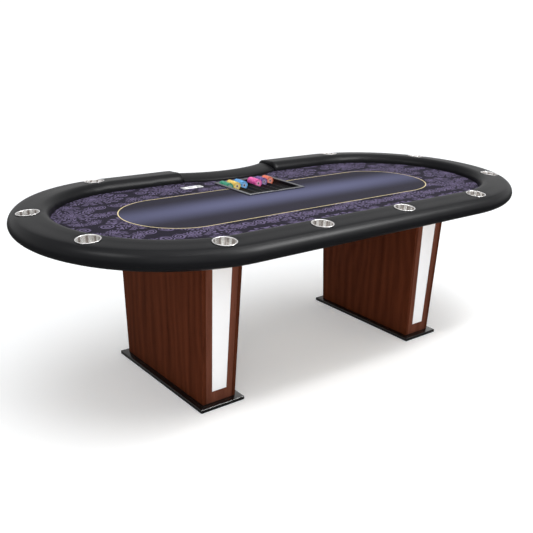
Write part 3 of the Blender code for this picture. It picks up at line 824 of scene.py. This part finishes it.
def make_rail(vinyl):
    """The rail's cover: one long pad, squared off at the cut-out with soft corners."""
    skin, channel = rail_section()
    stations = rail_stations(CUTOUT_HALF)
    total = stations[-1][3]
    starts = [(-CUTOUT_HALF - way, 0.0, 1.0, way) for way in RAIL_END_WAY]
    ends = [(CUTOUT_HALF + way, 0.0, 1.0, total - way) for way in reversed(RAIL_END_WAY)]
    between = [station for station in stations
               if RAIL_END_RADIUS < station[3] < total - RAIL_END_RADIUS]
    rings = []
    for station in starts + between + ends:
        from_end = min(station[3], total - station[3])
        rings.append(rail_ring(skin, channel, station, from_end))
    cover = add_piece("rail_cover", swept(rings), vinyl)
    holes = []
    for seat, axis in CUPS:
        lean = Vector((0, 0, 1)).rotation_difference(axis).to_matrix()
        ring = [lean @ Vector((x, y, 0.0)) for x, y in circle(CUP_HOLE_RADIUS, CUP_SIDES)]
        holes.append([[seat + point + axis * height for point in ring] for height in CUP_HOLE_REACH])
    boolean(cover, swept(*holes))
    shade(cover.data, 42)
    settle(cover, "table", "rail_pad")


# ---------------- the dealer's rest

REST_UNDER = 0.0320  # the skin turns in under the rest by this much
REST_BOARD_OUTER = 0.0160  # the board's edges, in from the rest's outer and inner arcs
REST_BOARD_INNER = 0.0140
REST_END_RADIUS = 0.006
REST_END_WAY = (0.0, 0.001, 0.003, REST_END_RADIUS)
REST_BOARD_END = 0.0125  # the board's channel starts this far from each end
REST_SIDE_WAY = 0.012  # and the even sections start this far from it
REST_STEPS = 70


def cutout_y(x, radius):
    return CUTOUT_CENTRE_Y - math.sqrt(radius * radius - x * x)


def rest_section():
    """(radius, z): the rest's crowned skin, then the channel for its board."""
    skin = smooth_line([
        (REST_INNER_R, BOARD_BOTTOM),
        (REST_INNER_R + 0.0002, 0.7210),
        (REST_INNER_R - 0.0055, 0.7292),
        (REST_INNER_R - 0.0260, 0.7356),
        (REST_INNER_R - 0.0610, 0.7414),
        (REST_OUTER_R + 0.0340, REST_HIGH.z - 0.0002),
        (REST_OUTER_R + 0.0140, 0.7376),
        (REST_OUTER_R + 0.0032, 0.7262),
        (REST_OUTER_R, 0.7120),
        (REST_OUTER_R + 0.0032, 0.6980),
        (REST_OUTER_R + 0.0125, 0.6852),
        (REST_OUTER_R + REST_UNDER - GAP, REST_LOW.z),
    ], SECTION_STEPS)
    return skin, board_channel(
        REST_OUTER_R + REST_UNDER - GAP,
        REST_OUTER_R + REST_BOARD_OUTER - GAP,
        REST_INNER_R - REST_BOARD_INNER + GAP,
    )


def make_rest(vinyl):
    """The dealer's low rest, crowned, with its ends tucked against the rail."""
    skin, channel = rest_section()
    middle = ((REST_INNER_R + REST_OUTER_R) / 2, 0.710)
    half = CUTOUT_HALF - GAP
    places = [-half + way for way in REST_END_WAY]
    places += spread(-half + REST_SIDE_WAY, half - REST_SIDE_WAY, REST_STEPS)
    places += [half - way for way in reversed(REST_END_WAY)]
    rings = []
    for x in places:
        from_end = half - abs(x)
        ring = []
        for radius, z in shrunk(skin, middle, end_inset(from_end, REST_END_RADIUS)):
            bend = max(0.0, 1.0 - abs(z - INNER_BEND_Z) / 0.02)
            ripple = 0.0004 * math.sin(x * 34.0 + 0.5) * bend
            ring.append((x, cutout_y(x, radius - ripple), z))
        for radius, z in channel:
            ring.append((x, cutout_y(x, radius), BOARD_BOTTOM if from_end < REST_BOARD_END else z))
        rings.append(ring)
    cover = add_piece("dealer_rest_cover", swept(rings), vinyl, smooth=42)
    settle(cover, "table", "dealer_rest_pad")


# ---------------- cloth and foam

SURFACE_ARC_STEPS = 96
SURFACE_CUTOUT_STEPS = 48
TRAY_HOLE_MARGIN = 0.0045  # the layers' opening is this much wider than the tray's tub


def surface_outline(inset):
    """The playing surface's edge, counter-clockwise from the cut-out's left end."""
    half_width = CLOTH_HALF_WIDTH - inset
    radius = REST_INNER_R + 0.0005 + inset
    reach = math.sqrt(radius ** 2 - (CUTOUT_CENTRE_Y - half_width) ** 2)
    outline = [(-reach, half_width)]
    outline += arc((-STRAIGHT_HALF, 0.0), half_width, QUARTER, 3 * QUARTER, SURFACE_ARC_STEPS)
    outline += arc((STRAIGHT_HALF, 0.0), half_width, -QUARTER, QUARTER, SURFACE_ARC_STEPS)
    outline.append((reach, half_width))
    for x in spread(reach, -reach, SURFACE_CUTOUT_STEPS)[1:-1]:
        outline.append((x, cutout_y(x, radius)))
    return outline


def area_of(outline):
    """The area inside a closed outline."""
    total = 0.0
    for (ax, ay), (bx, by) in zip(outline, outline[1:] + outline[:1]):
        total += ax * by - bx * ay
    return abs(total) / 2


def surface_holes():
    """The openings for the chip tray and the drop slot's chute."""
    inset = TRAY_FLANGE - TRAY_HOLE_MARGIN
    half = TRAY_HIGH.x - inset
    tray = rounded_rectangle(
        (-half, TRAY_LOW.y + inset), (half, TRAY_HIGH.y - inset), 0.0008, 2)
    slot = rounded_rectangle(
        (CHUTE_LOW.x - GAP, CHUTE_LOW.y - GAP), (CHUTE_HIGH.x + GAP, CHUTE_HIGH.y + GAP), 0.0004, 2)
    return tray, slot


def make_layer(name, bottom, top, roll, finish):
    """A thin layer over the board, its edge rolled down beside the rail."""
    rings = [[(x, y, bottom) for x, y in surface_outline(0.0)]]
    for turn in spread(0.0, QUARTER, 5):
        inset = roll * (1.0 - math.cos(turn))
        height = top - roll + roll * math.sin(turn)
        rings.append([(x, y, height) for x, y in surface_outline(inset)])
    piece = add_piece(name, swept(rings), finish)
    cut_through(piece, bottom, top, *surface_holes())
    shade(piece.data, 40)
    return piece


def make_surface(cloth, foam):
    """The printed cloth, stretched over its foam."""
    tray, slot = surface_holes()
    area = area_of(surface_outline(0.0)) - area_of(tray) - area_of(slot)
    sheet = make_layer("printed_cloth", CLOTH_LOW.z, CLOTH_HIGH.z, 0.0016, cloth)
    settle(sheet, "table", "playing_cloth")
    layer = make_layer("foam_layer", FOAM_LOW.z, FOAM_HIGH.z, 0.0010, foam)
    settle(layer, "table", "foam_underlay")


# ---------------- cups

CUP_FOOT_RADIUS = 0.006
CUP_EDGE_RADIUS = 0.0010
CUP_LIP_RADIUS = 0.0016


def cup_profile():
    """(radius, z) from the outside bottom, over the rolled rim at z 0 and down to the floor."""
    floor = -CUP_DEPTH
    inner = CUP_RADIUS - CUP_WALL
    foot = CUP_RADIUS - CUP_FOOT_RADIUS
    edge = CUP_RIM_RADIUS - CUP_EDGE_RADIUS
    profile = [(0.0, floor), (CUP_RADIUS * 0.5, floor), (foot, floor)]
    profile += arc((foot, floor + CUP_FOOT_RADIUS), CUP_FOOT_RADIUS, -QUARTER, 0.0, 6)[1:]
    profile += [(CUP_RADIUS, -0.0030), (CUP_RADIUS + 0.0002, -0.0020), (edge, -0.0021)]
    profile += arc((edge, -CUP_EDGE_RADIUS), CUP_EDGE_RADIUS, -QUARTER, QUARTER, 6)
    lip = (inner + CUP_LIP_RADIUS, -CUP_LIP_RADIUS)
    profile += arc(lip, CUP_LIP_RADIUS, QUARTER, math.pi, 5)
    profile += [(inner - 0.0003, -0.020), (inner - 0.0005, floor + 0.0085)]
    bend = (inner - 0.0075, floor + 0.0085)
    profile += arc(bend, (0.0070, 0.0072), 0.0, -QUARTER, 6)[1:]
    bottom = floor + CUP_WALL
    profile += [(0.024, bottom), (0.021, bottom + 0.0006), (0.0, bottom + 0.0007)]
    return profile


def turned_mesh(work, profile, sides):
    """Spin a profile that starts and ends on the axis."""
    rings = [[(x, y, z) for x, y in circle(radius, sides)] for radius, z in profile[1:-1]]
    made = join_rings(work, rings, cap=False)
    for ring, (_radius, z) in ((made[0], profile[0]), (made[-1], profile[-1])):
        centre = work.verts.new((0.0, 0.0, z))
        for k in range(sides):
            work.faces.new((ring[k], ring[(k + 1) % sides], centre))


def placed(across, side, up, place):
    """The matrix that turns x, y and z to three directions and moves the origin to a place."""
    turned = Matrix((across, side, up)).transposed()
    return Matrix.Translation(place) @ turned.to_4x4()


def make_cups(steel):
    """Ten drop-in cups with rolled rims."""
    for number, (seat, axis) in enumerate(CUPS, 1):
        work = bmesh.new()
        turned_mesh(work, cup_profile(), CUP_SIDES)
        cup = add_piece("cup_%d_steel" % number, work, steel, smooth=50)
        outward = Vector((axis.x, axis.y, 0.0)).normalized()
        side = axis.cross(outward).normalized()
        cup.matrix_world = placed(side.cross(axis), side, axis, seat)
        settle(cup, "cup_%d" % number, "cup_holder_%d" % number)


# ---------------- chip tray and chips

TRAY_INNER_X = TRAY_ROWS * ROW_PITCH / 2
TRAY_FRONT = TRAY_LOW.y + TRAY_FLANGE
TRAY_BACK = TRAY_HIGH.y - TRAY_FLANGE
TRAY_FLANGE_THICK = 0.0015
TRAY_OPENING = rectangle((-TRAY_INNER_X, TRAY_FRONT), (TRAY_INNER_X, TRAY_BACK))
NOTCH_SIZE = (0.020, 0.0085)  # the finger notch's half width and depth
NOTCH_START = 0.001


def row_x(row):
    return -TRAY_INNER_X + (row + 0.5) * ROW_PITCH


def make_tray(plastic):
    """The moulded tub with its seven round rows."""
    outline = rectangle((-TRAY_INNER_X - TRAY_WALL, TRAY_FRONT - TRAY_WALL),
                        (TRAY_INNER_X + TRAY_WALL, TRAY_BACK + TRAY_WALL))
    tub = add_piece("chip_tray_tub", swept(levels(outline, TRAY_LOW.z, TRAY_HIGH.z)), plastic)
    flange = rounded_rectangle(TRAY_LOW, TRAY_HIGH, 0.004)
    boolean(tub, swept(levels(flange, TRAY_HIGH.z - TRAY_FLANGE_THICK, TRAY_HIGH.z)), "UNION")
    boolean(tub, swept(levels(TRAY_OPENING, ROW_WALL_TOP, TRAY_HIGH.z + CUT_PAST)))
    rows = []
    for row in range(TRAY_ROWS):
        profile = arc((row_x(row), ROW_CENTRE_Z), ROW_RADIUS, math.pi, math.tau, 28)
        rows.append([[(x, y, z) for x, z in profile] for y in (TRAY_FRONT, TRAY_BACK)])
    boolean(tub, swept(*rows))
    round_edges(tub, 0.0005, 2)
    settle(tub, "chip_tray_unit", "chip_tray")


def make_tray_rim(metal):
    """The bevelled metal rim, with a half-round finger notch in front."""
    low, high = RIM_LOW.z, RIM_HIGH.z
    outline = rounded_rectangle(RIM_LOW, RIM_HIGH, 0.003, 5)
    rim = add_piece("tray_rim", swept(levels(outline, low, high)), metal)
    cut_through(rim, low, high, TRAY_OPENING)
    notch = arc((0.0, TRAY_FRONT + NOTCH_START), NOTCH_SIZE, math.pi, math.tau, 20)
    cut_through(rim, low, high, notch)
    round_edges(rim, 0.0012)
    settle(rim, "chip_tray_unit", "chip_tray_frame")


CHIP_SIDES = 48
CHIP_MARKS = 6
CHIP_MARK_WIDTH = 2  # in sides
CHIP_GAP = 0.00012  # a chip's faces lie this far inside its place in the row
CHIP_BEVEL = 0.00035
PRINT_DEPTH = 0.0001  # the print lies this far below the face round it
EMBLEM_RADIUS = 0.0045
INLAY_RADIUS = 0.0085
RING_RADIUS = 0.0128
FACE_RADIUS = 0.0138

BODY, MARK, INLAY, EMBLEM = range(4)  # a chip's finishes
PRINT_BANDS = (INLAY, MARK, INLAY)  # from the emblem outwards, and the same coming back
BODY_BANDS = (None,) * 5  # body with edge marks, over the chip's edge
CHIP_BANDS = PRINT_BANDS + BODY_BANDS + PRINT_BANDS
EDGE_BAND = len(CHIP_BANDS) // 2


def chip_profile():
    """(radius, depth) from the emblem on one face, over the edge, to the one on the other face."""
    half = CHIP_THICK / 2 - CHIP_GAP
    side = [(radius, half - PRINT_DEPTH) for radius in (EMBLEM_RADIUS, INLAY_RADIUS, RING_RADIUS)]
    side += [(FACE_RADIUS, half), (CHIP_RADIUS - CHIP_BEVEL, half), (CHIP_RADIUS, half - CHIP_BEVEL)]
    return [(radius, -depth) for radius, depth in side] + side[::-1]


def chip_mesh(work, centre, turn):
    """One chip on edge: a bevelled disc with edge marks, a printed ring and a small emblem."""
    middle_x, middle_y, middle_z = centre
    rings = []
    for radius, depth in chip_profile():
        outline = circle(radius, CHIP_SIDES, (middle_x, middle_z), turn)
        rings.append([work.verts.new((x, middle_y + depth, z)) for x, z in outline])
    for band, kind in enumerate(CHIP_BANDS):
        near, far = rings[band:band + 2]
        for k in range(CHIP_SIDES):
            j = (k + 1) % CHIP_SIDES
            face = work.faces.new((near[k], near[j], far[j], far[k]))
            face.smooth = band == EDGE_BAND
            if kind is None:
                marked = k % (CHIP_SIDES // CHIP_MARKS) < CHIP_MARK_WIDTH
                face.material_index = MARK if marked else BODY
            else:
                face.material_index = kind
    for ring in (rings[0], rings[-1]):
        face = work.faces.new(ring)
        face.material_index = EMBLEM


# colour's name, row, number of chips, colour
CHIP_ROWS = (
    ("green", 0, 20, (0.008, 0.230, 0.130)),
    ("yellow", 1, 20, (0.760, 0.500, 0.095)),
    ("blue", 2, 20, (0.075, 0.300, 0.620)),
    ("pink", 4, 20, (0.720, 0.075, 0.330)),
    ("purple", 5, 17, (0.110, 0.045, 0.230)),
    ("orange", 6, 15, (0.700, 0.140, 0.070)),
)


def make_chips():
    """Rows of chips pushed up to the tray's back wall, each turned its own way."""
    dark = chip_look("chip_emblem", (0.10, 0.055, 0.090))
    for name, row, count, colour in CHIP_ROWS:
        finish = chip_look("chip_" + name, colour)
        light = chip_look("chip_mark_" + name, [min(0.85, 0.06 + 1.25 * c) for c in colour])
        inlay = chip_look("chip_inlay_" + name, [min(0.85, 0.34 + 0.55 * c) for c in colour])
        work = bmesh.new()
        for place in range(count):
            y = TRAY_BACK - GAP - (place + 0.5) * CHIP_THICK
            x = row_x(row) + rng.uniform(-0.00025, 0.00025)
            z = ROW_CENTRE_Z + rng.uniform(-0.0002, 0.0001)
            chip_mesh(work, (x, y, z), rng.uniform(0.0, math.tau))
        chips = add_piece("chip_row_" + name, work, finish, light, inlay, dark)
        settle(chips, "chip_tray_unit", "chips_" + name)


# ---------------- drop slot

SLOT_HALF_SIZE = Vector((0.035, 0.0045))  # the slot's opening


def make_slot(trim):
    """The slot's bright plate, its lips rolled in."""
    low, high = SLOT_LOW.z, SLOT_HIGH.z
    outline = rounded_rectangle(SLOT_LOW, SLOT_HIGH, 0.004)
    plate = add_piece("slot_trim", swept(levels(outline, low, high)), trim)
    middle = (SLOT_LOW + SLOT_HIGH).xy / 2
    opening = rounded_rectangle(middle - SLOT_HALF_SIZE, middle + SLOT_HALF_SIZE, 0.0020)
    cut_through(plate, low, high, opening)
    round_edges(plate, 0.0007)
    settle(plate, "table", "drop_slot_plate")


# ---------------- pedestals

def make_from_node(name, node, finish, width):
    """A piece with a node's own shape, its edges eased."""
    work = bmesh.new()
    work.from_mesh(frame["nodes"][node].data)
    bmesh.ops.remove_doubles(work, verts=work.verts, dist=0.00002)
    bmesh.ops.dissolve_limit(
        work, angle_limit=math.radians(1.0), verts=work.verts, edges=work.edges)
    piece = add_piece(name, work, finish)
    round_edges(piece, width, angle=30.0)
    settle(piece, "table", node)


def make_pedestals():
    """Veneered panels with eased edges, silver inserts and gloss base plates."""
    broad = walnut_look("walnut_broad", (0.034, 0.0078, 0.0032), (0.115, 0.0300, 0.0125), 0.0)
    narrow = walnut_look("walnut_narrow", (0.070, 0.0215, 0.0125), (0.180, 0.0640, 0.0390), 0.31)
    silver = insert_look()
    gloss = gloss_black_look()
    for side in ("left_", "right_"):
        for face in ("outer", "inner"):
            make_from_node(side + face + "_veneer", side + face + "_panel", broad, 0.0012)
        for face in ("front", "back"):
            make_from_node(side + face + "_veneer", side + face + "_panel", narrow, 0.0008)
            make_from_node(side + face + "_silver", side + face + "_insert", silver, 0.0008)
        make_from_node(side + "foot_plate", side + "base_plate", gloss, 0.0020)


# ---------------- finishes on the frame's own pieces

def repaint(names, finish):
    for name in names:
        mesh = frame["nodes"][name].data
        mesh.materials.clear()
        mesh.materials.append(finish)


def finish_hidden_parts(plastic):
    """Finishes for the boards, the drop box and the bolts, which keep the frame's shapes."""
    repaint(("table_deck", "play_board", "rail_board", "dealer_rest_board", "left_top_plate",
             "right_top_plate", "stringer_front", "stringer_back"), plywood_look())
    repaint(("drop_box", "drop_box_runner_left", "drop_box_runner_right"), powder_look())
    repaint(("drop_slot_chute",), plastic)
    repaint([name for name in frame["nodes"] if "_bolt_" in name], zinc_look())


# ---------------- stage

FLOOR_HALF = 60.0
FLOOR_TILES = 12
FLOOR_Z = -0.0006

SKY_TOP = 0.34  # the studio's strength overhead and at the horizon
SKY_LOW = 0.92
UNDER_FLOOR = 0.10  # below the horizon, where dark surfaces mirror it
BACKDROP = 1.05  # what the camera sees behind the floor

SUN_WAY = (-0.14, 0.03, -1.0)
SUN_STRENGTH = 1.5
SUN_SIZE = 60.0

# name, place, aim, size, power, and whether matt surfaces see it too or only glossy ones
LAMPS = (
    ("soft_key", (0.10, -1.35, 3.00), (0.0, -0.60, 0.75), (2.6, 0.24), 36.0, True),
    ("soft_front", (-2.2, -3.4, 2.6), (0.0, -0.2, 0.4), (2.4, 1.6), 36.0, True),
    ("sheen_right", (1.25, -2.15, 2.50), (-0.5, -0.60, 0.74), (1.3, 1.2), 190.0, False),
    ("sheen_left", (-3.00, -0.60, 2.80), (-1.05, -0.45, 0.74), (1.0, 1.0), 55.0, False),
)


def make_floor():
    """A pale floor of large tiles, which glossy surfaces don't see."""
    work = bmesh.new()
    steps = spread(-FLOOR_HALF, FLOOR_HALF, FLOOR_TILES)
    for near, far in zip(steps, steps[1:]):
        for left, right in zip(steps, steps[1:]):
            corners = ((left, near), (right, near), (right, far), (left, far))
            work.faces.new([work.verts.new((x, y, FLOOR_Z)) for x, y in corners])
    floor = add_piece("floor", work, floor_look())
    floor.visible_glossy = False


def make_studio():
    """Even light from all round, brighter near the horizon and dark below it."""
    world = bpy.data.worlds.new("studio")
    bpy.context.scene.world = world
    world.use_nodes = True
    tree = world.node_tree
    background = tree.nodes["Background"]
    seen = tree.nodes.new("ShaderNodeLightPath")
    way = tree.nodes.new("ShaderNodeTexCoord")
    parts = tree.nodes.new("ShaderNodeSeparateXYZ")
    tree.links.new(way.outputs["Generated"], parts.inputs[0])
    height = Field(tree, parts.outputs["Z"])
    sky = height.step(1.0, 0.0).spread(SKY_TOP, SKY_LOW)
    studio = height.step(-0.04, 0.0) * (sky - UNDER_FLOOR) + UNDER_FLOOR
    strength = tree.nodes.new("ShaderNodeMapRange")
    tree.links.new(studio.socket, strength.inputs["To Min"])
    strength.inputs["To Max"].default_value = BACKDROP
    tree.links.new(seen.outputs["Is Camera Ray"], strength.inputs["Value"])
    tree.links.new(strength.outputs[0], background.inputs["Strength"])
    background.inputs["Color"].default_value = (1.0, 1.0, 1.0, 1.0)


def add_lamp(name, kind, way, power):
    """A lamp that shines one way."""
    light = bpy.data.lights.new(name, kind)
    light.energy = power
    lamp = add_object(name, light)
    lamp.rotation_euler = way.to_track_quat("-Z", "Y").to_euler()
    return lamp


def make_lamps():
    """A wide sun overhead, two soft panels, and two that only give a sheen."""
    sun = add_lamp("soft_sun", "SUN", Vector(SUN_WAY), SUN_STRENGTH)
    sun.data.angle = math.radians(SUN_SIZE)
    for name, place, aim, size, power, lights_all in LAMPS:
        lamp = add_lamp(name, "AREA", Vector(aim) - Vector(place), power)
        lamp.data.shape = "RECTANGLE"
        lamp.data.size, lamp.data.size_y = size
        lamp.location = place
        lamp.visible_diffuse = lights_all


# ---------------- camera

CAMERA_PLACE = (-2.078, -2.5126, 1.4963)
CAMERA_TURNS = (40.41, 18.853, 2.197)  # yaw to the right, pitch down, roll
CAMERA_LENS = 50.457
CAMERA_SHIFT = -0.0591


def make_camera():
    """The camera at the photograph's angle."""
    yaw, pitch, roll = (math.radians(turn) for turn in CAMERA_TURNS)
    ahead = Vector((math.sin(yaw) * math.cos(pitch), math.cos(yaw) * math.cos(pitch), -math.sin(pitch)))
    level = Vector((math.cos(yaw), -math.sin(yaw), 0.0))
    up = level.cross(ahead)
    right = math.cos(roll) * level + math.sin(roll) * up
    top = math.cos(roll) * up - math.sin(roll) * level
    data = bpy.data.cameras.new("camera")
    data.lens = CAMERA_LENS
    data.shift_x = CAMERA_SHIFT
    camera = add_object("camera", data)
    camera.matrix_world = placed(right, top, -ahead, CAMERA_PLACE)
    bpy.context.scene.camera = camera


def main():
    vinyl = vinyl_look()
    plastic = tray_look()
    make_rail(vinyl)
    make_rest(vinyl)
    make_surface(cloth_look(), foam_look())
    make_cups(steel_look())
    make_tray(plastic)
    make_tray_rim(aluminium_look("satin_rim", (0.12, 0.122, 0.135), (0.20, 0.202, 0.220), 0.34))
    make_chips()
    make_slot(aluminium_look("bright_trim", (0.74, 0.75, 0.77), (0.90, 0.90, 0.92), 0.30))
    make_pedestals()
    finish_hidden_parts(plastic)
    make_floor()
    make_studio()
    make_lamps()
    make_camera()
    bpy.context.scene.view_settings.view_transform = "Standard"


main()
